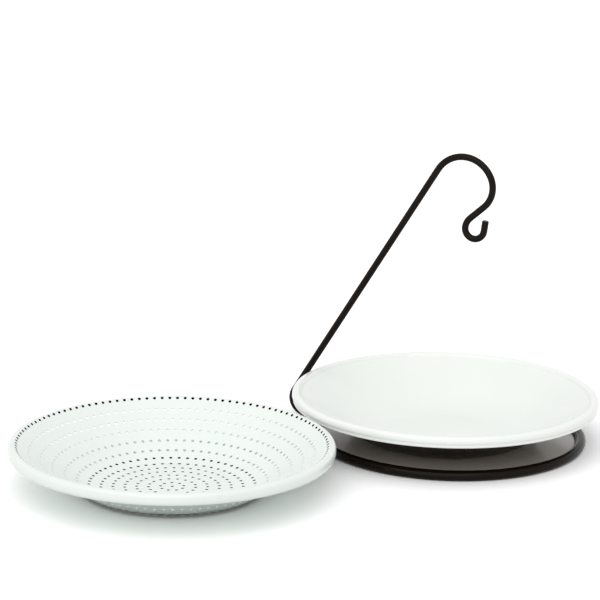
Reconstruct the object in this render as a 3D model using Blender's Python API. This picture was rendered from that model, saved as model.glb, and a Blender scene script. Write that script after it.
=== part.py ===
"""Hanging bird feeding dish: a leaning wire hanger on a round base, with two dishes.

A solid dish sits loose on the base plate, and a perforated dish of the same
pressing stands beside it, ready to take its place. Units are metres and +Z is
up. The origin lies on the floor, midway between the two dishes. The hanger
lies in a plane of constant Y, with its rod on the -X side.
"""

import math

import bmesh
import bpy
from mathutils import Vector
from mathutils.geometry import delaunay_2d_cdt
from mathutils.kdtree import KDTree

# Clearance kept between two pieces that touch on the real object.
FIT_GAP = 0.0003

# Both dishes come from one pressing: flat floor, flaring wall, rolled rim. The wall
# meets the roll high on its inner side, close below the crest. The roll is pressed
# towards a square section; a squareness of 2 would leave it round.
DISH_RADIUS = 0.135
DISH_HEIGHT = 0.040
DISH_FLOOR_RADIUS = 0.056
SHEET_THICKNESS = 0.001
WALL_CURVE = 1.5
BEAD_RADIUS = 0.005
BEAD_OPENING = math.radians(108.0)
BEAD_SQUARENESS = 2.6

# Punched holes: rings at an even step, and one more ring close below the rim.
# The model punches every second hole of a ring.
HOLE_DIAMETER = 0.0025
HOLE_RING_STEP = 0.0098
HOLE_PITCH = 0.0069
HOLE_EDGE_MARGIN = 0.0014
HOLES_PER_PUNCH = 2

# Base: a ring of round tube with a flat plate set inside it.
TUBE_DIAMETER = 0.009
RING_RADIUS = 0.117
PLATE_THICKNESS = 0.002
PLATE_LIFT = 0.0018
PLATE_EDGE_BREAK = 0.0004

# The solid dish is pushed off the base's axis, towards the rod.
DISH_SHIFT_X = -0.0022
DISH_SHIFT_Y = -0.0042

# Hanger wire: foot, bend, leaning rod, crook and curled eye. Headings turn from +Z to +X.
# The rod's distance to the rim is taken to the round that lies inside the squared roll.
WIRE_DIAMETER = 0.006
ROD_LEAN = math.radians(31.65)
ROD_TO_RIM = 0.0007
BEND_RADIUS = 0.0135
CROOK_RADIUS = 0.0279
CROOK_CENTRE_X = 0.0062
CROOK_HEADING = math.radians(152.0)
TAIL_RADIUS = 0.0224
TAIL_HEADING = math.radians(228.1)
NECK_LENGTH = 0.0193
EYE_RADIUS = 0.0088
EYE_TIP = 0.006

# The perforated dish stands beside the solid one, with its rim clear of it.
RIM_TO_RIM = 0.0041
BESIDE_ANGLE = math.radians(57.8)

# Fineness of the curved faces.
ROUND_STEPS = 56
WALL_STEPS = 6
BEAD_STEPS = 8
WIRE_STEPS = 8
BEND_STEP = math.radians(10.0)

# Sizes that follow from the ones above.
WIRE_RADIUS = WIRE_DIAMETER / 2
TUBE_RADIUS = TUBE_DIAMETER / 2
PLATE_RADIUS = RING_RADIUS - TUBE_RADIUS - FIT_GAP
PLATE_TOP = PLATE_LIFT + PLATE_THICKNESS
DISH_SEAT = PLATE_TOP + FIT_GAP
BEAD_CENTRE = DISH_RADIUS - BEAD_RADIUS
BEAD_LEVEL = DISH_HEIGHT - BEAD_RADIUS
WALL_RADIUS = BEAD_CENTRE - BEAD_RADIUS * math.cos(BEAD_OPENING / 2) ** (2 / BEAD_SQUARENESS)
WALL_LEVEL = BEAD_LEVEL + BEAD_RADIUS * math.sin(BEAD_OPENING / 2) ** (2 / BEAD_SQUARENESS)
SHEET_RADIUS = WALL_RADIUS - SHEET_THICKNESS
TOP_HOLE_RADIUS = SHEET_RADIUS - HOLE_EDGE_MARGIN
HALF_SPACING = DISH_RADIUS + RIM_TO_RIM / 2
SOLID_DISH_XY = (HALF_SPACING * math.cos(BESIDE_ANGLE), HALF_SPACING * math.sin(BESIDE_ANGLE))
BASE_XY = (SOLID_DISH_XY[0] - DISH_SHIFT_X, SOLID_DISH_XY[1] - DISH_SHIFT_Y)

SATIN_BLACK = (0.0137, 0.0103, 0.0082)
PLATE_GREY = (0.2747, 0.2462, 0.2051)
PALE_ENAMEL = (0.8470, 0.8879, 0.8550)


def clear_scene() -> None:
    """Remove every object of the open scene."""
    for item in list(bpy.data.objects):
        bpy.data.objects.remove(item, do_unlink=True)


def make_material(name: str, colour: tuple, roughness: float) -> bpy.types.Material:
    """Return a Principled material of one colour."""
    material = bpy.data.materials.new(name)
    material.use_nodes = True
    shader = material.node_tree.nodes["Principled BSDF"]
    shader.inputs["Base Color"].default_value = (*colour, 1.0)
    shader.inputs["Roughness"].default_value = roughness
    shader.inputs["Metallic"].default_value = 0.0
    return material


def add_mesh_object(name: str, bm: bmesh.types.BMesh) -> bpy.types.Object:
    """Turn a closed bmesh into a named object with its faces pointing out."""
    bmesh.ops.recalc_face_normals(bm, faces=bm.faces)
    mesh = bpy.data.meshes.new(name)
    bm.to_mesh(mesh)
    bm.free()
    mesh.shade_smooth()
    mesh.set_sharp_from_angle(angle=math.radians(35.0))
    piece = bpy.data.objects.new(name, mesh)
    bpy.context.collection.objects.link(piece)
    return piece


def revolve(profile: list, closed: bool) -> bmesh.types.BMesh:
    """Turn a profile of (radius, height) points about the Z axis.

    A closed profile makes a ring. An open one starts and ends on the axis.
    """
    bm = bmesh.new()
    verts = [bm.verts.new((radius, 0.0, height)) for radius, height in profile]
    ends = verts[1:] + verts[:1] if closed else verts[1:]
    edges = [bm.edges.new(pair) for pair in zip(verts, ends)]
    bmesh.ops.spin(
        bm,
        geom=verts + edges,
        cent=(0.0, 0.0, 0.0),
        axis=(0.0, 0.0, 1.0),
        angle=math.tau,
        steps=ROUND_STEPS,
    )
    bmesh.ops.remove_doubles(bm, verts=bm.verts, dist=FIT_GAP / 100)
    return bm


def sheet_inside(radius: float) -> tuple:
    """Return the height and slope angle of the dish's upper face at a radius."""
    run = WALL_RADIUS - DISH_FLOOR_RADIUS
    rise = WALL_LEVEL - SHEET_THICKNESS
    part = max(0.0, radius - DISH_FLOOR_RADIUS) / run
    height = SHEET_THICKNESS + rise * part**WALL_CURVE
    slope = WALL_CURVE * rise / run * part ** (WALL_CURVE - 1)
    return height, math.atan(slope)


def upper_point(radius: float) -> tuple:
    """Return the upper face's profile point above a plan radius."""
    return radius, sheet_inside(radius)[0]


def lower_point(radius: float) -> tuple:
    """Return the lower face's profile point, one thickness below the upper one."""
    height, slope = sheet_inside(radius)
    return radius + SHEET_THICKNESS * math.sin(slope), height - SHEET_THICKNESS * math.cos(slope)


def bead_reach(share: float) -> float:
    """Return how far the squared roll reaches along an axis, from a round one's share of it."""
    return math.copysign(BEAD_RADIUS * abs(share) ** (2 / BEAD_SQUARENESS), share)


def bead_profile() -> list:
    """Return the rim's rolled bead, from the upper face round to the lower face."""
    start = math.pi - BEAD_OPENING / 2
    turn = math.tau - BEAD_OPENING
    angles = [start - turn * step / BEAD_STEPS for step in range(BEAD_STEPS + 1)]
    return [
        (BEAD_CENTRE + bead_reach(math.cos(angle)), BEAD_LEVEL + bead_reach(math.sin(angle)))
        for angle in angles
    ]


def make_solid_dish() -> bpy.types.Object:
    """Turn the plain dish from its pressed profile."""
    run = SHEET_RADIUS - DISH_FLOOR_RADIUS
    radii = [DISH_FLOOR_RADIUS + run * step / WALL_STEPS for step in range(WALL_STEPS + 1)]
    upper = [upper_point(radius) for radius in [0.0] + radii]
    lower = [lower_point(radius) for radius in reversed([0.0] + radii)]
    dish = add_mesh_object("solid_dish", revolve(upper + bead_profile() + lower, closed=False))
    dish.location = (*SOLID_DISH_XY, DISH_SEAT)
    return dish


def hole_centres() -> list:
    """Return the plan position of every punched hole, with each ring turned half a pitch."""
    last_step = int((TOP_HOLE_RADIUS - HOLE_RING_STEP / 2) / HOLE_RING_STEP)
    ring_radii = [HOLE_RING_STEP * step for step in range(1, last_step + 1)]
    centres = [Vector((0.0, 0.0))]
    for index, radius in enumerate(ring_radii + [TOP_HOLE_RADIUS]):
        count = round(math.tau * radius / (HOLE_PITCH * HOLES_PER_PUNCH))
        for hole in range(count):
            angle = math.tau * (hole + 0.5 * (index % 2)) / count
            centres.append(Vector((radius * math.cos(angle), radius * math.sin(angle))))
    return centres


def hole_corners(centre: Vector) -> list:
    """Return a square hole of the round hole's area, turned to face the dish's axis."""
    reach = HOLE_DIAMETER / 2 * math.sqrt(math.pi / 2)
    bearing = math.atan2(centre.y, centre.x) + math.pi / 4
    turns = [bearing + math.pi / 2 * corner for corner in range(4)]
    return [centre + Vector((reach * math.cos(turn), reach * math.sin(turn))) for turn in turns]


def rim_angles() -> list:
    """Return the bearings of the rim's points."""
    return [math.tau * step / ROUND_STEPS for step in range(ROUND_STEPS)]


def punch_blank() -> tuple:
    """Triangulate the round blank with its holes left open.

    Returns the plan points, of which the first ROUND_STEPS lie on the outline,
    the triangles, and the edges around the holes.
    """
    points = [Vector((SHEET_RADIUS * math.cos(a), SHEET_RADIUS * math.sin(a))) for a in rim_angles()]
    loops = [list(range(ROUND_STEPS))]
    centres = hole_centres()
    for centre in centres:
        loops.append(list(range(len(points), len(points) + 4)))
        points.extend(hole_corners(centre))
    edges = [pair for loop in loops for pair in zip(loop, loop[1:] + loop[:1])]
    faces = delaunay_2d_cdt(points, edges, [], 0, FIT_GAP / 1000)[2]
    tree = KDTree(len(centres))
    for index, centre in enumerate(centres):
        tree.insert((*centre, 0.0), index)
    tree.balance()
    kept = []
    for face in faces:
        middle = sum((points[index] for index in face), Vector((0.0, 0.0))) / 3
        if tree.find((*middle, 0.0))[2] > HOLE_DIAMETER / 4:
            kept.append(face)
    return points, kept, edges[ROUND_STEPS:]


def bend_up(profile_point: tuple, bearing: float) -> tuple:
    """Return the space point of a profile point at a bearing."""
    radius, height = profile_point
    return radius * math.cos(bearing), radius * math.sin(bearing), height


def make_perforated_dish() -> bpy.types.Object:
    """Punch the flat blank, press it to the dish's profile and bead its rim."""
    points, faces, hole_edges = punch_blank()
    bm = bmesh.new()
    upper, lower = [
        [bm.verts.new(bend_up(side(p.length), math.atan2(p.y, p.x))) for p in points]
        for side in (upper_point, lower_point)
    ]
    for face in faces:
        bm.faces.new([upper[index] for index in face])
        bm.faces.new([lower[index] for index in reversed(face)])
    for first, second in hole_edges:
        bm.faces.new((upper[first], upper[second], lower[second], lower[first]))
    rows = [upper[:ROUND_STEPS]]
    rows += [[bm.verts.new(bend_up(p, a)) for a in rim_angles()] for p in bead_profile()]
    rows.append(lower[:ROUND_STEPS])
    for inner, outer in zip(rows, rows[1:]):
        for step in range(ROUND_STEPS):
            after = (step + 1) % ROUND_STEPS
            bm.faces.new((inner[step], outer[step], outer[after], inner[after]))
    dish = add_mesh_object("perforated_dish", bm)
    dish.location = (-SOLID_DISH_XY[0], -SOLID_DISH_XY[1], 0.0)
    return dish


def make_base_ring() -> bpy.types.Object:
    """Turn the tube ring that stands on the floor."""
    angles = [math.tau * step / WIRE_STEPS for step in range(WIRE_STEPS)]
    profile = [
        (RING_RADIUS + TUBE_RADIUS * math.cos(angle), TUBE_RADIUS * (1 + math.sin(angle)))
        for angle in angles
    ]
    return add_mesh_object("base_ring", revolve(profile, closed=True))


def make_base_plate() -> bpy.types.Object:
    """Turn the flat plate inside the ring, with its edges broken."""
    inner = PLATE_RADIUS - PLATE_EDGE_BREAK
    profile = [
        (0.0, PLATE_TOP),
        (inner, PLATE_TOP),
        (PLATE_RADIUS, PLATE_TOP - PLATE_EDGE_BREAK),
        (PLATE_RADIUS, PLATE_LIFT + PLATE_EDGE_BREAK),
        (inner, PLATE_LIFT),
        (0.0, PLATE_LIFT),
    ]
    return add_mesh_object("base_plate", revolve(profile, closed=False))


class WirePath:
    """A wire's centre line in the hanger's plane, drawn as straights and arcs."""

    def __init__(self, start: Vector, heading: float) -> None:
        self.points = [start]
        self.heading = heading

    def straight(self, length: float) -> None:
        """Go on along the heading."""
        step = Vector((math.sin(self.heading), math.cos(self.heading))) * length
        self.points.append(self.points[-1] + step)

    def arc(self, radius: float, heading: float) -> None:
        """Turn to a new heading, to the right where it grows and to the left where it shrinks."""
        turn = heading - self.heading
        side = math.copysign(radius, turn)
        begin = self.heading
        centre = self.points[-1] + Vector((math.cos(begin), -math.sin(begin))) * side
        count = max(2, math.ceil(abs(turn) / BEND_STEP))
        for step in range(1, count + 1):
            now = begin + turn * step / count
            self.points.append(centre - Vector((math.cos(now), -math.sin(now))) * side)
        self.heading = heading


def hanger_path() -> list:
    """Return the hanger's centre line, from the foot's end at the ring to the eye's tip."""
    sine, cosine = math.sin(ROD_LEAN), math.cos(ROD_LEAN)
    rim = Vector((DISH_SHIFT_X - math.sqrt(BEAD_CENTRE**2 - DISH_SHIFT_Y**2), DISH_SEAT + BEAD_LEVEL))
    rod = rim + Vector((-cosine, sine)) * (BEAD_RADIUS + WIRE_RADIUS + ROD_TO_RIM)
    drop = (rod.y - BEND_RADIUS * sine - WIRE_RADIUS - BEND_RADIUS) / cosine
    bend_end_x = rod.x - drop * sine
    bend_centre_x = bend_end_x + BEND_RADIUS * cosine
    foot_end_x = -(RING_RADIUS + TUBE_RADIUS + FIT_GAP)
    path = WirePath(Vector((foot_end_x, WIRE_RADIUS)), -math.pi / 2)
    path.straight(foot_end_x - bend_centre_x)
    path.arc(BEND_RADIUS, ROD_LEAN)
    path.straight((CROOK_CENTRE_X - CROOK_RADIUS * cosine - bend_end_x) / sine)
    path.arc(CROOK_RADIUS, CROOK_HEADING)
    path.arc(TAIL_RADIUS, TAIL_HEADING)
    path.straight(NECK_LENGTH)
    path.arc(EYE_RADIUS, 0.0)
    path.straight(EYE_TIP)
    return path.points


def make_hanger_wire() -> bpy.types.Object:
    """Sweep the round wire along the hanger's centre line."""
    points = hanger_path()
    curve = bpy.data.curves.new("hanger_wire", "CURVE")
    curve.dimensions = "3D"
    curve.bevel_depth = WIRE_RADIUS
    curve.bevel_resolution = (WIRE_STEPS - 4) // 2
    curve.use_fill_caps = True
    spline = curve.splines.new("POLY")
    spline.points.add(len(points) - 1)
    for knot, point in zip(spline.points, points):
        knot.co = (point.x, 0.0, point.y, 1.0)
        knot.radius = 1.0
    spline.use_smooth = True
    hanger = bpy.data.objects.new("hanger_wire", curve)
    bpy.context.collection.objects.link(hanger)
    return hanger


def main() -> None:
    """Build every piece and set the hanger's own pieces on the base's axis."""
    clear_scene()
    base_axis = bpy.data.objects.new("base_axis", None)
    bpy.context.collection.objects.link(base_axis)
    base_axis.location = (*BASE_XY, 0.0)
    stand = [
        (make_base_ring(), SATIN_BLACK, 0.42),
        (make_base_plate(), PLATE_GREY, 0.34),
        (make_hanger_wire(), SATIN_BLACK, 0.42),
    ]
    dishes = [
        (make_solid_dish(), PALE_ENAMEL, 0.22),
        (make_perforated_dish(), PALE_ENAMEL, 0.30),
    ]
    for piece, _, _ in stand:
        piece.parent = base_axis
    for piece, colour, roughness in stand + dishes:
        piece.data.materials.append(make_material(f"{piece.name}_finish", colour, roughness))


main()
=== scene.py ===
"""Looks of a hanging bird feeding dish.

A leaning wire hanger stands on a ringed base plate. An enamelled dish lies
loose on the plate, and a perforated dish of the same pressing stands beside it.
Lengths are metres and angles are radians, in the frame's own axes, unless a
name says millimetres.
"""

import logging
import math
from dataclasses import dataclass, field
from enum import Enum

import bmesh
import bpy
from mathutils import Matrix, Vector


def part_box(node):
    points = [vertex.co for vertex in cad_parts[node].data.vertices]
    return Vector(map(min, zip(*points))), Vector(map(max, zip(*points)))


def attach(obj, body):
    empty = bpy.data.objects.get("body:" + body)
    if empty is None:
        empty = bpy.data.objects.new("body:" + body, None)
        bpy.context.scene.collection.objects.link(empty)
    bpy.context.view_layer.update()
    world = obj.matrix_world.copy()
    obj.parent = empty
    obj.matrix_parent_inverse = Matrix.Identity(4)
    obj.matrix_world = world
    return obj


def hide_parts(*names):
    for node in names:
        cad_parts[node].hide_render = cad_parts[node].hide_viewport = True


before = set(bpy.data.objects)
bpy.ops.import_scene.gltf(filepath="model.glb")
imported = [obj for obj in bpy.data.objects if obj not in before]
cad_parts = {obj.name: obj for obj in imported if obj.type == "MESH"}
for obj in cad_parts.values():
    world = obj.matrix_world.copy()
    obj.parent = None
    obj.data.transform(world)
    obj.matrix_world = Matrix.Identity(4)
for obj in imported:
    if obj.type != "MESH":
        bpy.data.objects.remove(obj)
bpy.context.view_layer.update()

Point = tuple[float, float]
Place = tuple[float, float, float]
Colour = tuple[float, float, float, float]

LOG = logging.getLogger("feeding_dish")
MERGE_DISTANCE = 1e-6
SHARP_ANGLE = math.radians(32.0)
WHITE = "#FFFFFF"
# A punch has a straight middle between two flared ends.
PUNCH_SEGMENTS = 3


class Body(Enum):
    """The moving bodies that a piece can ride on."""

    STAND = "stand"
    SOLID_DISH = "solid_dish"
    PERFORATED_DISH = "perforated_dish"


class Slot(Enum):
    """The record's material slots."""

    WIRE = "black_wire"
    PLATE = "grey_plate"
    ENAMEL = "pale_enamel"


class Coat(Enum):
    """The coats of a dish, with their numbers in its mesh."""

    INSIDE = 0
    OUTSIDE = 1
    # A dark coat painted where shade falls.
    PAINTED_SHADE = 2
    RIM = 3


class Polish(Enum):
    """What a coat's roughness drifts with."""

    CLOUD = "cloud"
    FINEST_SKIN = "finest_skin"


def to_linear(colour: str) -> Colour:
    """Turn an sRGB hex colour to linear light.

    Args:
        colour: The colour as six hex digits after a hash sign, such as #1F1A17.

    Returns:
        The linear RGBA values.
    """
    shares = [int(colour[start : start + 2], 16) / 255 for start in (1, 3, 5)]
    linear = [share / 12.92 if share <= 0.04045 else ((share + 0.055) / 1.055) ** 2.4 for share in shares]
    return (*linear, 1.0)


def scale_for(millimetres: float) -> float:
    """Return the texture scale whose features are that many millimetres wide."""
    return 1000.0 / millimetres


def add_node(
    tree: bpy.types.NodeTree, kind: str, inputs: dict[str | int, object], **settings: object
) -> bpy.types.Node:
    """Add a node with its settings, values and links.

    Args:
        tree: The node tree that gets the node.
        kind: The node's type name.
        inputs: A value, or another node's output, for each input by name or number.
        **settings: The node's own properties.

    Returns:
        The new node.
    """
    node = tree.nodes.new(kind)
    for name, value in settings.items():
        setattr(node, name, value)
    for key, value in inputs.items():
        if isinstance(value, bpy.types.NodeSocket):
            tree.links.new(value, node.inputs[key])
        else:
            node.inputs[key].default_value = value
    return node


def new_material(name: str) -> tuple[bpy.types.Material, bpy.types.NodeTree, bpy.types.Node]:
    """Start a material.

    Args:
        name: The material's name.

    Returns:
        The material, its emptied node tree and its output node.
    """
    material = bpy.data.materials.new(name)
    material.use_nodes = True
    tree = material.node_tree
    tree.nodes.clear()
    return material, tree, add_node(tree, "ShaderNodeOutputMaterial", {})


@dataclass(frozen=True)
class Grain:
    """A random pattern in a coat: the width of its features, how far they break up, and their depth."""

    width_mm: float
    detail: float
    depth: float = 0.0


@dataclass(frozen=True, kw_only=True)
class SteelCoat:
    """A coat on steel, whose colour and polish drift a little from place to place.

    The colours and the roughness each drift between two values. The skin is
    layers of bumps, the widest first. The gloss is the strength of the mirror
    light, where 0.5 is what the IOR alone gives.
    """

    name: str
    colours: tuple[str, str]
    roughness: tuple[float, float]
    cloud: Grain
    skin: tuple[Grain, ...]
    polish: Polish
    gloss: float = 0.5
    ior: float = 1.5
    drift: tuple[float, float] = (0.3, 0.7)

    def material(self) -> bpy.types.Material:
        """Build the node material.

        Returns:
            The finished material.
        """
        material, tree, output = new_material(self.name)
        place = add_node(tree, "ShaderNodeTexCoord", {}).outputs["Object"]
        patterns = []
        for grain in (self.cloud, *self.skin):
            noise = add_node(
                tree,
                "ShaderNodeTexNoise",
                {"Vector": place, "Scale": scale_for(grain.width_mm), "Detail": grain.detail},
            )
            patterns.append(noise.outputs["Fac"])
        cloud, *heights = patterns
        first, second = (to_linear(colour) for colour in self.colours)
        colour = add_node(tree, "ShaderNodeMix", {0: cloud, 6: first, 7: second}, data_type="RGBA")
        roughness = add_node(
            tree,
            "ShaderNodeMapRange",
            {
                "Value": cloud if self.polish is Polish.CLOUD else heights[-1],
                "From Min": self.drift[0],
                "From Max": self.drift[1],
                "To Min": self.roughness[0],
                "To Max": self.roughness[1],
            },
        )
        facing = {}
        for grain, height in zip(self.skin, heights):
            bump = add_node(
                tree, "ShaderNodeBump", {"Height": height, "Distance": grain.depth, "Strength": 1.0, **facing}
            )
            facing = {"Normal": bump.outputs["Normal"]}
        shader = add_node(
            tree,
            "ShaderNodeBsdfPrincipled",
            {
                "Base Color": colour.outputs[2],
                "Roughness": roughness.outputs["Result"],
                "IOR": self.ior,
                "Specular IOR Level": self.gloss,
                **facing,
            },
        )
        tree.links.new(shader.outputs["BSDF"], output.inputs["Surface"])
        return material


@dataclass(frozen=True, kw_only=True)
class Enamel(SteelCoat):
    """Vitreous enamel, fired on pressed steel.

    It gives the eye a wet, milky gloss, a slow ripple where the glaze ran with
    a fine peel over it, and a little more colour where the coat lies thick.
    """

    cloud: Grain = Grain(38.0, 3.0)
    skin: tuple[Grain, ...] = (Grain(7.0, 1.0, 0.00004), Grain(1.6, 2.0, 0.000012))
    polish: Polish = Polish.CLOUD


@dataclass(frozen=True, kw_only=True)
class PowderCoat(SteelCoat):
    """Polyester powder coat, baked on steel.

    It gives the eye a satin with the fine pebbled skin that the powder leaves
    as it melts, so highlights are broad and slightly grainy.
    """

    cloud: Grain = Grain(24.0, 4.0)
    # Real powder pebbles at about 0.5 mm. They are drawn coarser, so that they show.
    skin: tuple[Grain, ...] = (Grain(1.3, 2.0, 0.00003),)
    polish: Polish = Polish.FINEST_SKIN


# A wet white with a faint mint cast, inside the plain dish.
DISH_ENAMEL = Enamel(name="enamel_milk_white", colours=("#F2F5F0", "#ECF2ED"), roughness=(0.10, 0.16))
# The same white a touch brighter, on the plain dish's roll: painted light where the lamps catch the roll.
RIM_PAINTED_LIGHT = Enamel(name="enamel_rim_painted_light", colours=("#F5F7F3", "#F0F4EF"), roughness=(0.10, 0.16))
# A brown-black enamel with little sheen, so that it stays deep at a grazing angle. It is the plain dish's
# black outside, and painted shade in the rolls' hollows, on the sides of holes near the strainer's foot and
# under its foot.
BLACK_COAT_AND_PAINTED_SHADE = Enamel(
    name="enamel_black_and_painted_shade", colours=("#120E0B", "#1A1512"), roughness=(0.22, 0.30), gloss=0.15
)
# A softer, mintier white, inside the strainer and on its roll.
STRAINER_ENAMEL = Enamel(name="enamel_pale_mint", colours=("#F0F5F1", "#E9F1EC"), roughness=(0.20, 0.28))
# The mintiest and dullest of the whites, on the strainer's outside: darker and greener as painted shade on
# the underside.
STRAINER_UNDERSIDE_SHADE = Enamel(name="enamel_mint_painted_shade", colours=("#E1EDE8", "#DAE8E2"), roughness=(0.26, 0.34))
# A deep brown-black with a faint sheen, on the hanger and the ring.
WIRE_COAT = PowderCoat(
    name="powder_coat_wire", colours=("#110B07", "#19120D"), roughness=(0.16, 0.24), gloss=0.10
)
# A pale warm grey whose skin is flatter and mirrors more, on the plate.
PLATE_COAT = PowderCoat(
    name="powder_coat_plate",
    colours=("#DCD2C4", "#E4DBCF"),
    roughness=(0.17, 0.26),
    gloss=0.9,
    skin=(Grain(1.3, 2.0, 0.000012),),
)


def finish_mesh(mesh: bpy.types.Mesh) -> None:
    """Close seams, point faces outwards and shade a mesh smooth, with its edges kept crisp.

    Args:
        mesh: The mesh that is changed.
    """
    bm = bmesh.new()
    bm.from_mesh(mesh)
    bmesh.ops.remove_doubles(bm, verts=bm.verts, dist=MERGE_DISTANCE)
    bmesh.ops.recalc_face_normals(bm, faces=bm.faces)
    bm.to_mesh(mesh)
    bm.free()
    mesh.shade_smooth()
    mesh.set_sharp_from_angle(angle=SHARP_ANGLE)


def place_piece(mesh: bpy.types.Mesh, name: str, body: Body, node: str) -> bpy.types.Object:
    """Put a finished mesh in the scene in place of a CAD node.

    Args:
        mesh: The piece's mesh, with its place in its points.
        name: The piece's name.
        body: The body that it moves with.
        node: The CAD node that it stands for.

    Returns:
        The piece.
    """
    piece = bpy.data.objects.new(name, mesh)
    bpy.context.scene.collection.objects.link(piece)
    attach(piece, body.value)
    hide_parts(node)
    return piece


def even_steps(begin: float, width: float, count: int) -> list[float]:
    """Return where each of that many even steps over a width begins."""
    return [begin + width * step / count for step in range(count)]


def turn_profile(name: str, profile: list[Point], steps: int) -> bpy.types.Mesh:
    """Turn a profile about the Z axis.

    Args:
        name: The mesh's name.
        profile: Points of (radius, height). The first and the last lie on the axis.
        steps: How many faces go round.

    Returns:
        The turned mesh, about the origin.
    """
    bm = bmesh.new()
    circle = [(math.cos(angle), math.sin(angle)) for angle in even_steps(0.0, math.tau, steps)]
    rows = []
    for radius, height in profile:
        if radius < MERGE_DISTANCE:
            rows.append([bm.verts.new((0.0, 0.0, height))] * steps)
        else:
            rows.append([bm.verts.new((radius * x, radius * y, height)) for x, y in circle])
    for inner, outer in zip(rows, rows[1:]):
        for step in range(steps):
            after = (step + 1) % steps
            corners = (inner[step], outer[step], outer[after], inner[after])
            bm.faces.new(list(dict.fromkeys(corners)))
    mesh = bpy.data.meshes.new(name)
    bm.to_mesh(mesh)
    bm.free()
    return mesh


def hump(offset: float, width: float) -> float:
    """Return the height, from 0 to 1, of a smooth hump of that width at an offset from its middle."""
    share = abs(offset) / (width / 2)
    return (1.0 - share * share) ** 2 if share < 1.0 else 0.0


def squared_share(share: float, squareness: float) -> float:
    """Return a round arc's share of its radius as a squared arc has it."""
    return math.copysign(abs(share) ** (2 / squareness), share)


def arc_points(
    centre: Point, reach: Point, begin: float, end: float, steps: int, squareness: float = 2.0
) -> list[Point]:
    """Return points on an arc.

    Args:
        centre: The arc's centre.
        reach: How far the arc reaches along each of its two axes.
        begin: The angle of the first point.
        end: The angle of the last point.
        steps: How many chords the arc has.
        squareness: 2 for a round arc, and more for one that is pressed towards a square.

    Returns:
        The points, with one more of them than chords.
    """
    angles = [begin + (end - begin) * step / steps for step in range(steps + 1)]
    return [
        (
            centre[0] + reach[0] * squared_share(math.cos(angle), squareness),
            centre[1] + reach[1] * squared_share(math.sin(angle), squareness),
        )
        for angle in angles
    ]


class NodeModel:
    """A Geometry Nodes tree with named inputs, run on a mesh to give a plain mesh."""

    def __init__(self, name: str) -> None:
        """Start the tree with its geometry input and output.

        Args:
            name: The tree's name.
        """
        self.tree = bpy.data.node_groups.new(name, "GeometryNodeTree")
        self.tree.interface.new_socket("Geometry", in_out="INPUT", socket_type="NodeSocketGeometry")
        self.tree.interface.new_socket("Geometry", in_out="OUTPUT", socket_type="NodeSocketGeometry")
        self.source = self.tree.nodes.new("NodeGroupInput")
        self.values: dict[str, object] = {}

    def size(self, name: str, value: object, kind: str = "NodeSocketFloat") -> bpy.types.NodeSocket:
        """Add a named input.

        Args:
            name: The input's name.
            value: What the modifier sets it to.
            kind: The socket's type.

        Returns:
            The socket that carries it in the tree.
        """
        item = self.tree.interface.new_socket(name, in_out="INPUT", socket_type=kind)
        self.values[item.identifier] = value
        return self.source.outputs[name]

    def close(self, geometry: bpy.types.NodeSocket, material: bpy.types.Material) -> None:
        """End the tree: make instances real and set the material.

        Args:
            geometry: What the tree has made.
            material: The finish that it gets.
        """
        surface = self.size("Finish", material, "NodeSocketMaterial")
        real = add_node(self.tree, "GeometryNodeRealizeInstances", {"Geometry": geometry})
        dressed = add_node(
            self.tree, "GeometryNodeSetMaterial", {"Geometry": real.outputs[0], "Material": surface}
        )
        add_node(self.tree, "NodeGroupOutput", {0: dressed.outputs[0]})

    def run(self, mesh: bpy.types.Mesh) -> bpy.types.Mesh:
        """Run the tree on a mesh.

        Args:
            mesh: The mesh that the tree's geometry input gets.

        Returns:
            The result as a plain mesh.
        """
        host = bpy.data.objects.new(f"{self.tree.name}_host", mesh)
        bpy.context.scene.collection.objects.link(host)
        modifier = host.modifiers.new(self.tree.name, "NODES")
        modifier.node_group = self.tree
        for identifier, value in self.values.items():
            modifier[identifier] = value
        graph = bpy.context.evaluated_depsgraph_get()
        result = bpy.data.meshes.new_from_object(host.evaluated_get(graph))
        host.modifiers.remove(modifier)
        bpy.data.objects.remove(host)
        return result


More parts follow.
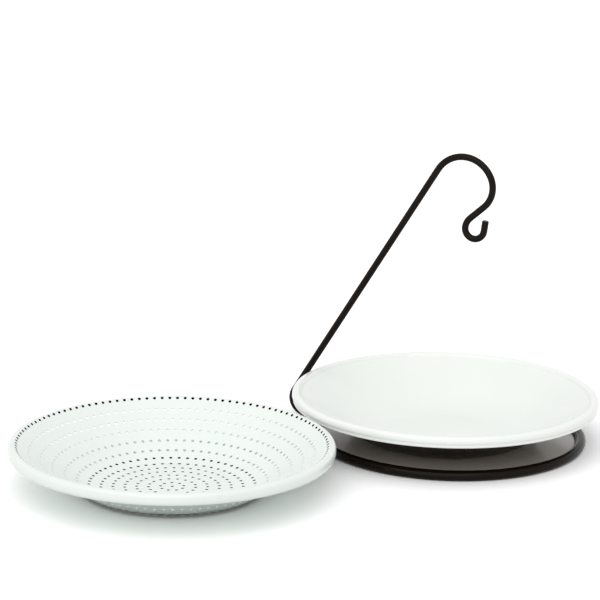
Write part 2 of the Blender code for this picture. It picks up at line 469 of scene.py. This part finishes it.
@dataclass
class Dish:
    """A round dish pressed from sheet steel, with its edge rolled outwards and under."""

    node: str
    body: Body
    inside: Enamel
    outside: Enamel
    # The dark coat painted where shade falls: in the roll's hollow, on hole sides near the foot and under the
    # foot.
    painted_shade: Enamel
    rim: Enamel
    sheet: float = 0.0009
    # The upper face is a flat floor, a hollow bend and a straight cone.
    floor_radius: float = 0.052
    cone_radius: float = 0.088
    floor_level: float = 0.0012
    # The lower face swells at the turn from floor to wall, and at the ring that the dish stands on.
    thick_radius: float = 0.0745
    thick_width: float = 0.043
    thick_depth: float = 0.00205
    foot_radius: float = 0.0618
    foot_width: float = 0.009
    foot_depth: float = 0.000298
    # The roll is a squared tube, which leaves the wall this far round from its top.
    roll_width: float = 0.0082
    roll_height: float = 0.010
    roll_squareness: float = 2.6
    roll_start: float = math.radians(54.5)
    # A crease runs beside the roll, and a groove lies in the roll's outer side, this far below its top.
    crease_depth: float = 0.0008
    crease_width: float = 0.0015
    groove_depth: float = 0.0
    groove_drop: float = 0.0070
    groove_width: float = 0.0038
    # Inside the first radius the sides of holes get painted shade, and inside the second the underside does.
    # This dark coat stands in for the shade in the holes and under the foot.
    painted_shade_radius: float = 0.073
    painted_shade_foot_radius: float = 0.0752
    # A face has a coat where it looks the coat's way by at least this cosine, which is looser in the crease.
    coat_facing: float = 0.5
    crease_facing: float = -0.3
    # So many chords go round the dish and along each stretch of its section.
    round_steps: int = 192
    floor_steps: int = 6
    foot_steps: int = 12
    wall_steps: int = 40
    crease_steps: int = 6
    roll_steps: int = 56
    hollow_steps: int = 24
    centre: Vector = field(init=False)
    radius: float = field(init=False)
    height: float = field(init=False)
    roll: Point = field(init=False)
    cavity: Point = field(init=False)
    roll_centre: Point = field(init=False)
    roll_begin: float = field(init=False)
    wall_radius: float = field(init=False)
    wall_level: float = field(init=False)

    def __post_init__(self) -> None:
        """Take the place and the outer sizes from the CAD node, and the roll's place from them."""
        low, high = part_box(self.node)
        self.centre = Vector(((low.x + high.x) / 2, (low.y + high.y) / 2, low.z))
        self.radius = (high.x - low.x) / 2
        self.height = high.z - low.z
        self.roll = (self.roll_width / 2, self.roll_height / 2)
        self.cavity = (self.roll[0] - self.sheet, self.roll[1] - self.sheet)
        self.roll_centre = (self.radius - self.roll[0], self.height - self.roll[1])
        self.roll_begin = math.pi / 2 + self.roll_start
        first = self.roll_points(self.roll, self.roll_begin, self.roll_begin, 1)[0]
        self.wall_radius, self.wall_level = first

    def roll_points(self, reach: Point, begin: float, end: float, steps: int) -> list[Point]:
        """Return points of the roll's section, on the arc that reaches so far along each axis."""
        return arc_points(self.roll_centre, reach, begin, end, steps, self.roll_squareness)

    def roll_facing(self, across: float, above: float) -> Vector:
        """Work out the roll's outward direction at a point of its section.

        Args:
            across: How far out the point lies from the roll's centre.
            above: How far up it lies from there.

        Returns:
            The direction, as its outward and its upward part.
        """
        power = self.roll_squareness - 1
        sides = zip((across, above), self.roll)
        parts = [math.copysign(abs(part / reach) ** power / reach, part) for part, reach in sides]
        return Vector(parts).normalized()

    def upper_face(self, radius: float) -> Point:
        """Work out the upper face at a radius, without the crease.

        Args:
            radius: The distance from the dish's axis.

        Returns:
            The height and the slope's angle.
        """
        bend = self.cone_radius - self.floor_radius
        steepest = (self.wall_level - self.floor_level) / (self.wall_radius - self.floor_radius - bend / 2)
        out = max(0.0, radius - self.floor_radius)
        if out < bend:
            return self.floor_level + steepest * out * out / (2 * bend), math.atan(steepest * out / bend)
        return self.floor_level + steepest * (out - bend / 2), math.atan(steepest)

    def crease(self, radius: float) -> float:
        """Return how far the upper face dips in the crease that runs beside the roll."""
        share = (self.wall_radius - radius) / self.crease_width
        return self.crease_depth * math.sin(math.pi * share) ** 2 if 0.0 < share < 1.0 else 0.0

    def grooved(self, point: Point) -> Point:
        """Press a point of the roll in, where it lies in the groove.

        Args:
            point: The point's radius and height.

        Returns:
            The pressed point.
        """
        radius, height = point
        if radius < self.roll_centre[0]:
            return point
        pressed = self.groove_depth * hump(height - self.height + self.groove_drop, self.groove_width)
        return radius - pressed, height

    def lower_point(self, radius: float) -> Point:
        """Find the lower face's point, a sheet and its swellings below the upper face.

        Args:
            radius: The upper face's distance from the dish's axis.

        Returns:
            The lower point's radius and height.
        """
        height, slope = self.upper_face(radius)
        thickening = self.thick_depth * hump(radius - self.thick_radius, self.thick_width)
        foot = self.foot_depth * hump(radius - self.foot_radius, self.foot_width)
        height -= thickening + foot
        return radius + self.sheet * math.sin(slope), height - self.sheet * math.cos(slope)

    def profile(self) -> list[Point]:
        """Draw the sheet's section, from the middle of the upper face round to that of the lower face.

        Returns:
            Points of (radius, height).
        """
        foot_begin = self.foot_radius - self.foot_width / 2
        wall_begin = foot_begin + self.foot_width
        wall_end = self.wall_radius - self.crease_width
        radii = even_steps(0.0, foot_begin, self.floor_steps)
        radii += even_steps(foot_begin, self.foot_width, self.foot_steps)
        radii += even_steps(wall_begin, wall_end - wall_begin, self.wall_steps)
        lower = [self.lower_point(radius) for radius in reversed(radii)]
        radii += even_steps(wall_end, self.crease_width, self.crease_steps)
        radii.append(self.wall_radius)
        upper = [(radius, self.upper_face(radius)[0] - self.crease(radius)) for radius in radii]
        outside = self.roll_points(self.roll, self.roll_begin, -math.pi, self.roll_steps)
        hollow = self.roll_points(self.cavity, -math.pi, self.roll_begin, self.hollow_steps)
        return upper + [self.grooved(point) for point in outside] + hollow + lower

    def press(self) -> bpy.types.Mesh:
        """Turn the sheet's section into the dish, about the origin.

        Returns:
            The pressed dish.
        """
        mesh = turn_profile(self.node, self.profile(), self.round_steps)
        finish_mesh(mesh)
        return mesh

    def dress(self, mesh: bpy.types.Mesh, name: str) -> bpy.types.Object:
        """Coat a dish and set it in its place on its body.

        Args:
            mesh: The dish about the origin.
            name: The piece's name.

        Returns:
            The piece.
        """
        finish_mesh(mesh)
        coats = {
            Coat.INSIDE: self.inside,
            Coat.OUTSIDE: self.outside,
            Coat.PAINTED_SHADE: self.painted_shade,
            Coat.RIM: self.rim,
        }
        mesh.materials.clear()
        for coat in Coat:
            mesh.materials.append(coats[coat].material())
        for face in mesh.polygons:
            face.material_index = self.coat_of(face.center, face.normal).value
        mesh.transform(Matrix.Translation(self.centre))
        return place_piece(mesh, name, self.body, self.node)

    def coat_of(self, point: Vector, normal: Vector) -> Coat:
        """Choose a face's coat. The roll's hollow, the sides of holes near the foot and the underside inside
        the foot get the dark coat that is painted shade.

        Args:
            point: The face's middle.
            normal: The face's direction.

        Returns:
            The coat.
        """
        radius = math.hypot(point.x, point.y)
        outward = (point.x * normal.x + point.y * normal.y) / max(radius, MERGE_DISTANCE)
        if radius > self.wall_radius - self.sheet:
            facing = self.roll_facing(radius - self.roll_centre[0], point.z - self.roll_centre[1])
            away = outward * facing.x + normal.z * facing.y
            if radius > self.wall_radius:
                return Coat.RIM if away > self.coat_facing else Coat.PAINTED_SHADE
            return Coat.INSIDE if away > self.crease_facing else Coat.PAINTED_SHADE
        slope = self.upper_face(radius)[1]
        upward = normal.z * math.cos(slope) - outward * math.sin(slope)
        if upward > -self.coat_facing:
            # Hole sides near the foot get the painted shade coat, so that those holes look dark.
            shaded_hole_side = upward < self.coat_facing and radius < self.painted_shade_radius
            return Coat.PAINTED_SHADE if shaded_hole_side else Coat.INSIDE
        # The underside inside the foot gets painted shade too.
        return Coat.PAINTED_SHADE if radius < self.painted_shade_foot_radius else Coat.OUTSIDE


@dataclass
class SolidDish(Dish):
    """The plain dish that lies on the base plate."""

    node: str = "solid_dish"
    body: Body = Body.SOLID_DISH
    inside: Enamel = DISH_ENAMEL
    outside: Enamel = BLACK_COAT_AND_PAINTED_SHADE
    # Painted shade in the roll's hollow. Under the foot it matches the black outside.
    painted_shade: Enamel = BLACK_COAT_AND_PAINTED_SHADE
    # The roll's brighter white is painted light.
    rim: Enamel = RIM_PAINTED_LIGHT
    groove_depth: float = 0.0008

    def build(self) -> bpy.types.Object:
        """Press the dish and set it on the plate."""
        return self.dress(self.press(), "enamelled_dish")


@dataclass
class PerforatedDish(Dish):
    """The strainer dish: rings of punched holes, and one more ring along the roll's inner shoulder."""

    node: str = "perforated_dish"
    body: Body = Body.PERFORATED_DISH
    inside: Enamel = STRAINER_ENAMEL
    # The underside's darker, greener white is painted shade.
    outside: Enamel = STRAINER_UNDERSIDE_SHADE
    # Painted shade: in the roll's hollow, on hole sides near the foot and under the foot.
    painted_shade: Enamel = BLACK_COAT_AND_PAINTED_SHADE
    rim: Enamel = STRAINER_ENAMEL
    crease_depth: float = 0.0002
    hole_diameter: float = 0.0027
    hole_sides: int = 12
    hole_pitch: float = 0.0072
    ring_step: float = 0.0098
    ring_count: int = 12
    # The ring on the roll lies this far inside the roll's centre, and its punches are shorter.
    top_inset: float = 0.0028
    top_pitch: float = 0.0067
    top_punch_share: float = 0.4
    # A punch begins a little above the sheet, and is wider by this share at its ends, down to this depth.
    punch_length: float = 0.0044
    punch_overrun: float = 0.0003
    edge_flare: float = 0.44
    flare_depth: float = 0.0005

    def hole_centres(self, model: NodeModel) -> bpy.types.NodeSocket:
        """Lay out the holes in plan: one in the middle, rings round it, and the ring on the roll.

        Args:
            model: The node tree.

        Returns:
            The holes' centres, as points.
        """
        tree = model.tree
        step = model.size("Ring Step", self.ring_step)
        rings = model.size("Ring Count", self.ring_count, "NodeSocketInt")
        pitch = model.size("Hole Pitch", self.hole_pitch)
        top_radius = model.size("Top Ring Radius", self.roll_centre[0] - self.top_inset)
        top_pitch = model.size("Top Ring Pitch", self.top_pitch)
        middle = add_node(tree, "GeometryNodeMeshLine", {"Count": 1})
        begin = tree.nodes.new("GeometryNodeRepeatInput")
        end = tree.nodes.new("GeometryNodeRepeatOutput")
        begin.pair_with_output(end)
        tree.links.new(rings, begin.inputs["Iterations"])
        tree.links.new(middle.outputs["Mesh"], begin.inputs["Geometry"])
        number = add_node(tree, "ShaderNodeMath", {0: begin.outputs["Iteration"], 1: 1.0}, operation="ADD")
        radius = add_node(tree, "ShaderNodeMath", {0: number.outputs[0], 1: step}, operation="MULTIPLY")
        circles = []
        for reach, gap in ((radius.outputs[0], pitch), (top_radius, top_pitch)):
            around = add_node(tree, "ShaderNodeMath", {0: reach, 1: math.tau}, operation="MULTIPLY")
            share = add_node(tree, "ShaderNodeMath", {0: around.outputs[0], 1: gap}, operation="DIVIDE")
            count = add_node(tree, "ShaderNodeMath", {0: share.outputs[0]}, operation="ROUND")
            circle = add_node(
                tree, "GeometryNodeMeshCircle", {"Vertices": count.outputs[0], "Radius": reach}
            )
            circles.append(circle.outputs["Mesh"])
        ring, top_ring = circles
        rows = add_node(tree, "GeometryNodeJoinGeometry", {0: begin.outputs["Geometry"]})
        tree.links.new(ring, rows.inputs[0])
        tree.links.new(rows.outputs[0], end.inputs["Geometry"])
        centres = add_node(tree, "GeometryNodeJoinGeometry", {0: end.outputs["Geometry"]})
        tree.links.new(top_ring, centres.inputs[0])
        return centres.outputs[0]

    def punch_pin(self, model: NodeModel) -> bpy.types.NodeSocket:
        """Shape one punch, a pin that is flared at both ends and points down from its seat.

        Args:
            model: The node tree.

        Returns:
            The punch's mesh.
        """
        tree = model.tree
        diameter = model.size("Hole Diameter", self.hole_diameter)
        sides = model.size("Hole Sides", self.hole_sides, "NodeSocketInt")
        length = model.size("Punch Length", self.punch_length)
        overrun = model.size("Punch Overrun", self.punch_overrun)
        flare = model.size("Edge Flare", self.edge_flare)
        flare_depth = model.size("Flare Depth", self.flare_depth)
        half = add_node(tree, "ShaderNodeMath", {0: diameter, 1: 0.5}, operation="MULTIPLY")
        pin = add_node(
            tree,
            "GeometryNodeMeshCylinder",
            {
                "Vertices": sides,
                "Side Segments": PUNCH_SEGMENTS,
                "Radius": half.outputs[0],
                "Depth": length,
            },
        )
        position = add_node(tree, "GeometryNodeInputPosition", {})
        part = add_node(tree, "ShaderNodeSeparateXYZ", {0: position.outputs[0]})
        along = add_node(tree, "ShaderNodeMath", {0: part.outputs["Z"]}, operation="ABSOLUTE")
        third = add_node(tree, "ShaderNodeMath", {0: length, 1: PUNCH_SEGMENTS}, operation="DIVIDE")
        at_end = add_node(
            tree, "ShaderNodeMath", {0: along.outputs[0], 1: third.outputs[0]}, operation="GREATER_THAN"
        )
        widen = add_node(tree, "ShaderNodeMath", {0: at_end.outputs[0], 1: flare}, operation="MULTIPLY")
        outward = add_node(tree, "ShaderNodeCombineXYZ", {"X": part.outputs["X"], "Y": part.outputs["Y"]})
        spread = add_node(
            tree,
            "ShaderNodeVectorMath",
            {0: outward.outputs[0], "Scale": widen.outputs[0]},
            operation="SCALE",
        )
        stretch = add_node(
            tree, "ShaderNodeMath", {0: third.outputs[0], 1: flare_depth}, operation="SUBTRACT"
        )
        inner = add_node(tree, "ShaderNodeMath", {0: 1.0, 1: at_end.outputs[0]}, operation="SUBTRACT")
        reach = add_node(
            tree, "ShaderNodeMath", {0: stretch.outputs[0], 1: inner.outputs[0]}, operation="MULTIPLY"
        )
        side = add_node(tree, "ShaderNodeMath", {0: part.outputs["Z"]}, operation="SIGN")
        shift = add_node(
            tree, "ShaderNodeMath", {0: reach.outputs[0], 1: side.outputs[0]}, operation="MULTIPLY"
        )
        deep = add_node(tree, "ShaderNodeMath", {0: length, 1: -0.5, 2: overrun}, operation="MULTIPLY_ADD")
        sink = add_node(tree, "ShaderNodeMath", {0: shift.outputs[0], 1: deep.outputs[0]}, operation="ADD")
        lowered = add_node(tree, "ShaderNodeCombineXYZ", {"Z": sink.outputs[0]})
        offset = add_node(
            tree, "ShaderNodeVectorMath", {0: spread.outputs[0], 1: lowered.outputs[0]}, operation="ADD"
        )
        punch = add_node(
            tree, "GeometryNodeSetPosition", {"Geometry": pin.outputs["Mesh"], "Offset": offset.outputs[0]}
        )
        return punch.outputs[0]

    def punch(self, mesh: bpy.types.Mesh) -> bpy.types.Mesh:
        """Punch the holes square to the pressed sheet, where each centre drops on it from above.

        Args:
            mesh: The pressed dish, about the origin.

        Returns:
            The perforated dish.
        """
        model = NodeModel("perforation")
        tree = model.tree
        sheet = model.source.outputs["Geometry"]
        drop = model.size("Drop Height", self.height)
        wall_end = model.size("Wall Radius", self.wall_radius)
        top_share = model.size("Top Punch Share", self.top_punch_share)
        position = add_node(tree, "GeometryNodeInputPosition", {})
        part = add_node(tree, "ShaderNodeSeparateXYZ", {0: position.outputs[0]})
        plan = {"X": part.outputs["X"], "Y": part.outputs["Y"]}
        above = add_node(tree, "ShaderNodeCombineXYZ", {**plan, "Z": drop})
        dropped = add_node(
            tree,
            "GeometryNodeRaycast",
            {
                "Target Geometry": sheet,
                "Source Position": above.outputs[0],
                "Ray Direction": (0.0, 0.0, -1.0),
            },
        )
        seats = add_node(
            tree,
            "GeometryNodeSetPosition",
            {"Geometry": self.hole_centres(model), "Position": dropped.outputs["Hit Position"]},
        )
        facing = add_node(
            tree, "FunctionNodeAlignRotationToVector", {"Vector": dropped.outputs["Hit Normal"]}, axis="Z"
        )
        outward = add_node(tree, "ShaderNodeCombineXYZ", plan)
        away = add_node(tree, "ShaderNodeVectorMath", {0: outward.outputs[0]}, operation="LENGTH")
        on_roll = add_node(
            tree, "ShaderNodeMath", {0: away.outputs["Value"], 1: wall_end}, operation="GREATER_THAN"
        )
        stroke = add_node(
            tree,
            "GeometryNodeSwitch",
            {"Switch": on_roll.outputs[0], "False": 1.0, "True": top_share},
            input_type="FLOAT",
        )
        scale = add_node(tree, "ShaderNodeCombineXYZ", {"X": 1.0, "Y": 1.0, "Z": stroke.outputs[0]})
        punches = add_node(
            tree,
            "GeometryNodeInstanceOnPoints",
            {
                "Points": seats.outputs[0],
                "Instance": self.punch_pin(model),
                "Rotation": facing.outputs["Rotation"],
                "Scale": scale.outputs[0],
            },
        )
        solid = add_node(tree, "GeometryNodeRealizeInstances", {"Geometry": punches.outputs[0]})
        cut = add_node(
            tree,
            "GeometryNodeMeshBoolean",
            {"Mesh 1": sheet, "Mesh 2": solid.outputs[0]},
            operation="DIFFERENCE",
            solver="MANIFOLD",
        )
        model.close(cut.outputs["Mesh"], self.inside.material())
        return model.run(mesh)

    def build(self) -> bpy.types.Object:
        """Press the dish, punch it and stand it on the floor."""
        return self.dress(self.punch(self.press()), "perforated_strainer_dish")


class WireRoute:
    """A wire's centre line in an upright plane, drawn as straights and arcs.

    A heading is measured from +Z towards +X.
    """

    def __init__(self, start: Vector, heading: float, bend_step: float) -> None:
        """Start the line.

        Args:
            start: Its first point.
            heading: The direction that it leaves in.
            bend_step: The angle that one chord of an arc may turn.
        """
        self.points: list[Vector] = [start]
        self.heading = heading
        self.bend_step = bend_step

    def straight(self, length: float) -> None:
        """Go on along the heading."""
        step = Vector((math.sin(self.heading), math.cos(self.heading))) * length
        self.points.append(self.points[-1] + step)

    def arc(self, radius: float, heading: float) -> None:
        """Turn to a new heading, to the right where it grows and to the left where it shrinks.

        Args:
            radius: The bend's radius.
            heading: The heading at the bend's end.
        """
        turn = heading - self.heading
        side = math.copysign(radius, turn)
        begin = self.heading
        centre = self.points[-1] + Vector((math.cos(begin), -math.sin(begin))) * side
        count = math.ceil(abs(turn) / self.bend_step)
        for step in range(1, count + 1):
            now = begin + turn * step / count
            self.points.append(centre - Vector((math.cos(now), -math.sin(now))) * side)
        self.heading = heading


@dataclass
class Stand:
    """The hanger and its base: one bent wire, a ring of tube and a flat plate in the ring."""

    wire_diameter: float = 0.006
    tube_diameter: float = 0.009
    wire_sides: int = 24
    ring_steps: int = 192
    bend_step: float = math.radians(4.0)
    # The wire's cut end is broken: it narrows to this share over this length.
    end_break: float = 0.0005
    end_share: float = 0.82
    # The rod leans past the dish's rim, which is taken as a round bead, with this much room.
    rod_lean: float = math.radians(31.65)
    rod_to_rim: float = 0.0007
    rim_roll: float = 0.005
    bend_radius: float = 0.0135
    # The crook's centre stands this far from the ring's. Tail, neck and throat lead from it to the eye.
    crook_radius: float = 0.02794
    crook_offset: float = 0.0062
    crook_heading: float = math.radians(152.0)
    tail_radius: float = 0.0224
    tail_heading: float = math.radians(228.1)
    neck_length: float = 0.0163
    throat_radius: float = 0.014
    throat_heading: float = math.radians(193.1)
    eye_radius: float = 0.0088
    tip_lean: float = math.radians(7.0)
    eye_tip: float = 0.0094
    # The plate's edge is rounded over, and its flats are divided at these shares of its radius.
    plate_round: float = 0.0006
    plate_round_steps: int = 6
    plate_shares: tuple[float, ...] = (0.25, 0.5, 0.75, 0.95)
    centre: Vector = field(init=False)
    wire_radius: float = field(init=False)
    tube_radius: float = field(init=False)
    ring_radius: float = field(init=False)
    coat: bpy.types.Material = field(init=False)

    def __post_init__(self) -> None:
        """Take the ring's place and size from the CAD node."""
        low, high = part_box("base_ring")
        self.centre = Vector(((low.x + high.x) / 2, (low.y + high.y) / 2, 0.0))
        self.wire_radius = self.wire_diameter / 2
        self.tube_radius = self.tube_diameter / 2
        self.ring_radius = (high.x - low.x) / 2 - self.tube_radius
        self.coat = WIRE_COAT.material()

    def sweep(self, name: str, points: list[Vector], diameter: float, closed: bool) -> bpy.types.Mesh:
        """Sweep a round wire along a line.

        Args:
            name: The node tree's name.
            points: The centre line.
            diameter: The wire's diameter.
            closed: Whether the line closes to a ring. The last end of an open one is broken.

        Returns:
            The swept mesh.
        """
        line = bpy.data.meshes.new(name)
        last = len(points) - 1
        edges = [(number, number + 1) for number in range(last)]
        if closed:
            edges.append((last, 0))
        line.from_pydata(points, edges, [])
        share = line.attributes.new("wire_share", "FLOAT", "POINT")
        for number in range(len(points)):
            share.data[number].value = self.end_share if number == last and not closed else 1.0
        model = NodeModel(name)
        thickness = model.size("Wire Diameter", diameter)
        around = model.size("Wire Sides", self.wire_sides, "NodeSocketInt")
        tree = model.tree
        path = add_node(tree, "GeometryNodeMeshToCurve", {"Mesh": model.source.outputs["Geometry"]})
        half = add_node(tree, "ShaderNodeMath", {0: thickness, 1: 0.5}, operation="MULTIPLY")
        section = add_node(
            tree, "GeometryNodeCurvePrimitiveCircle", {"Resolution": around, "Radius": half.outputs[0]}
        )
        taper = add_node(tree, "GeometryNodeInputNamedAttribute", {"Name": "wire_share"}, data_type="FLOAT")
        tube = add_node(
            tree,
            "GeometryNodeCurveToMesh",
            {
                "Curve": path.outputs[0],
                "Profile Curve": section.outputs[0],
                "Scale": taper.outputs[0],
                "Fill Caps": True,
            },
        )
        model.close(tube.outputs[0], self.coat)
        mesh = model.run(line)
        finish_mesh(mesh)
        return mesh

    def hanger_line(self) -> list[Vector]:
        """Draw the hanger's centre line, from the foot at the ring to the eye's tip.

        Returns:
            The line's points.
        """
        dish_low, dish_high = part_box("solid_dish")
        shift_x = (dish_low.x + dish_high.x) / 2 - self.centre.x
        shift_y = (dish_low.y + dish_high.y) / 2 - self.centre.y
        rim_radius = (dish_high.x - dish_low.x) / 2 - self.rim_roll
        rim_x = shift_x - math.sqrt(rim_radius**2 - shift_y**2)
        sine, cosine = math.sin(self.rod_lean), math.cos(self.rod_lean)
        clear = self.rim_roll + self.wire_radius + self.rod_to_rim
        rod = Vector((rim_x - cosine * clear, dish_high.z - self.rim_roll + sine * clear))
        drop = (rod.y - self.bend_radius * sine - self.wire_radius - self.bend_radius) / cosine
        bend_end = rod.x - drop * sine
        bend_centre = bend_end + self.bend_radius * cosine
        foot_end = -(self.ring_radius + self.tube_radius)
        route = WireRoute(Vector((foot_end, self.wire_radius)), -math.pi / 2, self.bend_step)
        route.straight(foot_end - bend_centre)
        route.arc(self.bend_radius, self.rod_lean)
        route.straight((self.crook_offset - self.crook_radius * cosine - bend_end) / sine)
        route.arc(self.crook_radius, self.crook_heading)
        route.arc(self.tail_radius, self.tail_heading)
        route.straight(self.neck_length)
        route.arc(self.throat_radius, self.throat_heading)
        route.arc(self.eye_radius, self.tip_lean)
        route.straight(self.eye_tip - self.end_break)
        route.straight(self.end_break)
        return [self.centre + Vector((point.x, 0.0, point.y)) for point in route.points]

    def build_hanger(self) -> bpy.types.Object:
        """Sweep the hanger's wire and set it on the ring."""
        mesh = self.sweep("hanger_sweep", self.hanger_line(), self.wire_diameter, closed=False)
        return place_piece(mesh, "bent_wire_hanger", Body.STAND, "hanger_wire")

    def build_ring(self) -> bpy.types.Object:
        """Sweep the base ring's tube and lay it on the floor.

        Returns:
            The piece.
        """
        flat = arc_points((0.0, 0.0), (self.ring_radius,) * 2, 0.0, math.tau, self.ring_steps)[:-1]
        line = [self.centre + Vector((x, y, self.tube_radius)) for x, y in flat]
        mesh = self.sweep("ring_sweep", line, self.tube_diameter, closed=True)
        return place_piece(mesh, "tube_base_ring", Body.STAND, "base_ring")

    def build_plate(self) -> bpy.types.Object:
        """Turn the flat plate, with its edges rounded over.

        Returns:
            The piece.
        """
        low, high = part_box("base_plate")
        radius = (high.x - low.x) / 2
        inner = radius - self.plate_round
        corner = (self.plate_round, self.plate_round)
        steps = self.plate_round_steps
        top = arc_points((inner, high.z - self.plate_round), corner, math.pi / 2, 0.0, steps)
        bottom = arc_points((inner, low.z + self.plate_round), corner, 0.0, -math.pi / 2, steps)
        flats = [0.0] + [radius * share for share in self.plate_shares]
        upper = [(reach, high.z) for reach in flats]
        lower = [(reach, low.z) for reach in reversed(flats)]
        mesh = turn_profile("base_plate", upper + top + bottom + lower, self.ring_steps)
        finish_mesh(mesh)
        mesh.transform(Matrix.Translation(self.centre))
        mesh.materials.append(PLATE_COAT.material())
        return place_piece(mesh, "flat_base_plate", Body.STAND, "base_plate")

    def build(self) -> list[bpy.types.Object]:
        """Build the hanger, the ring and the plate."""
        return [self.build_hanger(), self.build_ring(), self.build_plate()]


@dataclass
class Studio:
    """A white sweep with soft light, and the camera that took the photograph."""

    floor_half: float = 12.0
    # The floor looks brighter to the camera and to mirror rays than the light that it throws back.
    floor_seen: float = 1.27
    floor_bounce: str = "#E6E6E4"
    sky_light: float = 0.74
    key_strength: float = 1.08
    key_from: Place = (0.18, -0.92, 1.0)
    key_spread: float = math.radians(70.0)
    # The camera's place is given from the ring's centre on the floor.
    camera_from_ring: Place = (0.7647, -1.8894, 0.6425)
    azimuth: float = math.radians(25.786)
    tilt: float = 0.2494
    roll: float = 0.0185
    lens_mm: float = 144.0
    sensor_mm: float = 36.0
    view_reach: float = 100.0

    def seen_directly(self, tree: bpy.types.NodeTree) -> bpy.types.NodeSocket:
        """Tell rays that show the background from those that only carry its light.

        Args:
            tree: The shader's node tree.

        Returns:
            A value that is 1 for camera, mirror and glass rays, and 0 for others.
        """
        path = add_node(tree, "ShaderNodeLightPath", {})
        shown = add_node(
            tree,
            "ShaderNodeMath",
            {0: path.outputs["Is Camera Ray"], 1: path.outputs["Is Glossy Ray"]},
            operation="ADD",
        )
        every = add_node(
            tree,
            "ShaderNodeMath",
            {0: shown.outputs[0], 1: path.outputs["Is Transmission Ray"]},
            operation="ADD",
            use_clamp=True,
        )
        return every.outputs[0]

    def build_floor(self) -> bpy.types.Object:
        """Lay the white floor, which keeps the object's shadow.

        Returns:
            The floor.
        """
        half = self.floor_half
        mesh = bpy.data.meshes.new("studio_floor")
        mesh.from_pydata(
            [(-half, -half, 0.0), (half, -half, 0.0), (half, half, 0.0), (-half, half, 0.0)],
            [],
            [(0, 1, 2, 3)],
        )
        material, tree, output = new_material("white_sweep")
        seen = (self.floor_seen, self.floor_seen, self.floor_seen, 1.0)
        colour = add_node(
            tree,
            "ShaderNodeMix",
            {0: self.seen_directly(tree), 6: to_linear(self.floor_bounce), 7: seen},
            data_type="RGBA",
            clamp_result=False,
        )
        matt = add_node(tree, "ShaderNodeBsdfDiffuse", {"Color": colour.outputs[2]})
        tree.links.new(matt.outputs[0], output.inputs["Surface"])
        mesh.materials.append(material)
        floor = bpy.data.objects.new("studio_floor", mesh)
        bpy.context.scene.collection.objects.link(floor)
        return floor

    def build_world(self) -> None:
        """Light the scene from all sides, with white where the world shows."""
        world = bpy.data.worlds.new("studio")
        world.use_nodes = True
        tree = world.node_tree
        tree.nodes.clear()
        white = to_linear(WHITE)
        light = add_node(tree, "ShaderNodeBackground", {"Color": white, "Strength": self.sky_light})
        shown = add_node(tree, "ShaderNodeBackground", {"Color": white, "Strength": 1.0})
        mix = add_node(
            tree,
            "ShaderNodeMixShader",
            {0: self.seen_directly(tree), 1: light.outputs[0], 2: shown.outputs[0]},
        )
        add_node(tree, "ShaderNodeOutputWorld", {"Surface": mix.outputs[0]})
        bpy.context.scene.world = world

    def build_key(self) -> bpy.types.Object:
        """Hang the broad, soft key light that lights the object from one side.

        Returns:
            The lamp.
        """
        lamp = bpy.data.lights.new("soft_key", "SUN")
        lamp.energy = self.key_strength
        lamp.angle = self.key_spread
        holder = bpy.data.objects.new("soft_key", lamp)
        holder.location = Vector(self.key_from)
        holder.rotation_euler = (-Vector(self.key_from)).to_track_quat("-Z", "Y").to_euler()
        bpy.context.scene.collection.objects.link(holder)
        return holder

    def build_camera(self, ring_centre: Vector) -> bpy.types.Object:
        """Set the camera where the photograph was taken from.

        Args:
            ring_centre: The base ring's centre on the floor.

        Returns:
            The camera.
        """
        data = bpy.data.cameras.new("photo_camera")
        data.lens = self.lens_mm
        data.sensor_width = self.sensor_mm
        data.clip_end = self.view_reach
        camera = bpy.data.objects.new("photo_camera", data)
        level = math.cos(self.tilt)
        ahead = Vector(
            (-math.sin(self.azimuth) * level, math.cos(self.azimuth) * level, -math.sin(self.tilt))
        )
        upright = ahead.to_track_quat("-Z", "Y").to_matrix().to_4x4()
        place = Matrix.Translation(ring_centre + Vector(self.camera_from_ring))
        camera.matrix_world = place @ upright @ Matrix.Rotation(self.roll, 4, "Z")
        bpy.context.scene.collection.objects.link(camera)
        bpy.context.scene.camera = camera
        return camera

    def build(self, ring_centre: Vector) -> None:
        """Set up the floor, the light and the camera.

        Args:
            ring_centre: The base ring's centre on the floor.
        """
        self.build_floor()
        self.build_world()
        self.build_key()
        self.build_camera(ring_centre)
        bpy.context.scene.view_settings.view_transform = "Standard"


def main() -> None:
    """Build every piece of the object and the studio around it, and report the pieces."""
    logging.basicConfig(level=logging.INFO, format="%(name)s: %(message)s")
    stand = Stand()
    pieces = [*stand.build(), SolidDish().build(), PerforatedDish().build()]
    for piece in pieces:
        LOG.info("%s: %d faces", piece.name, len(piece.data.polygons))
    Studio().build(stand.centre)


if __name__ == "__main__":
    main()
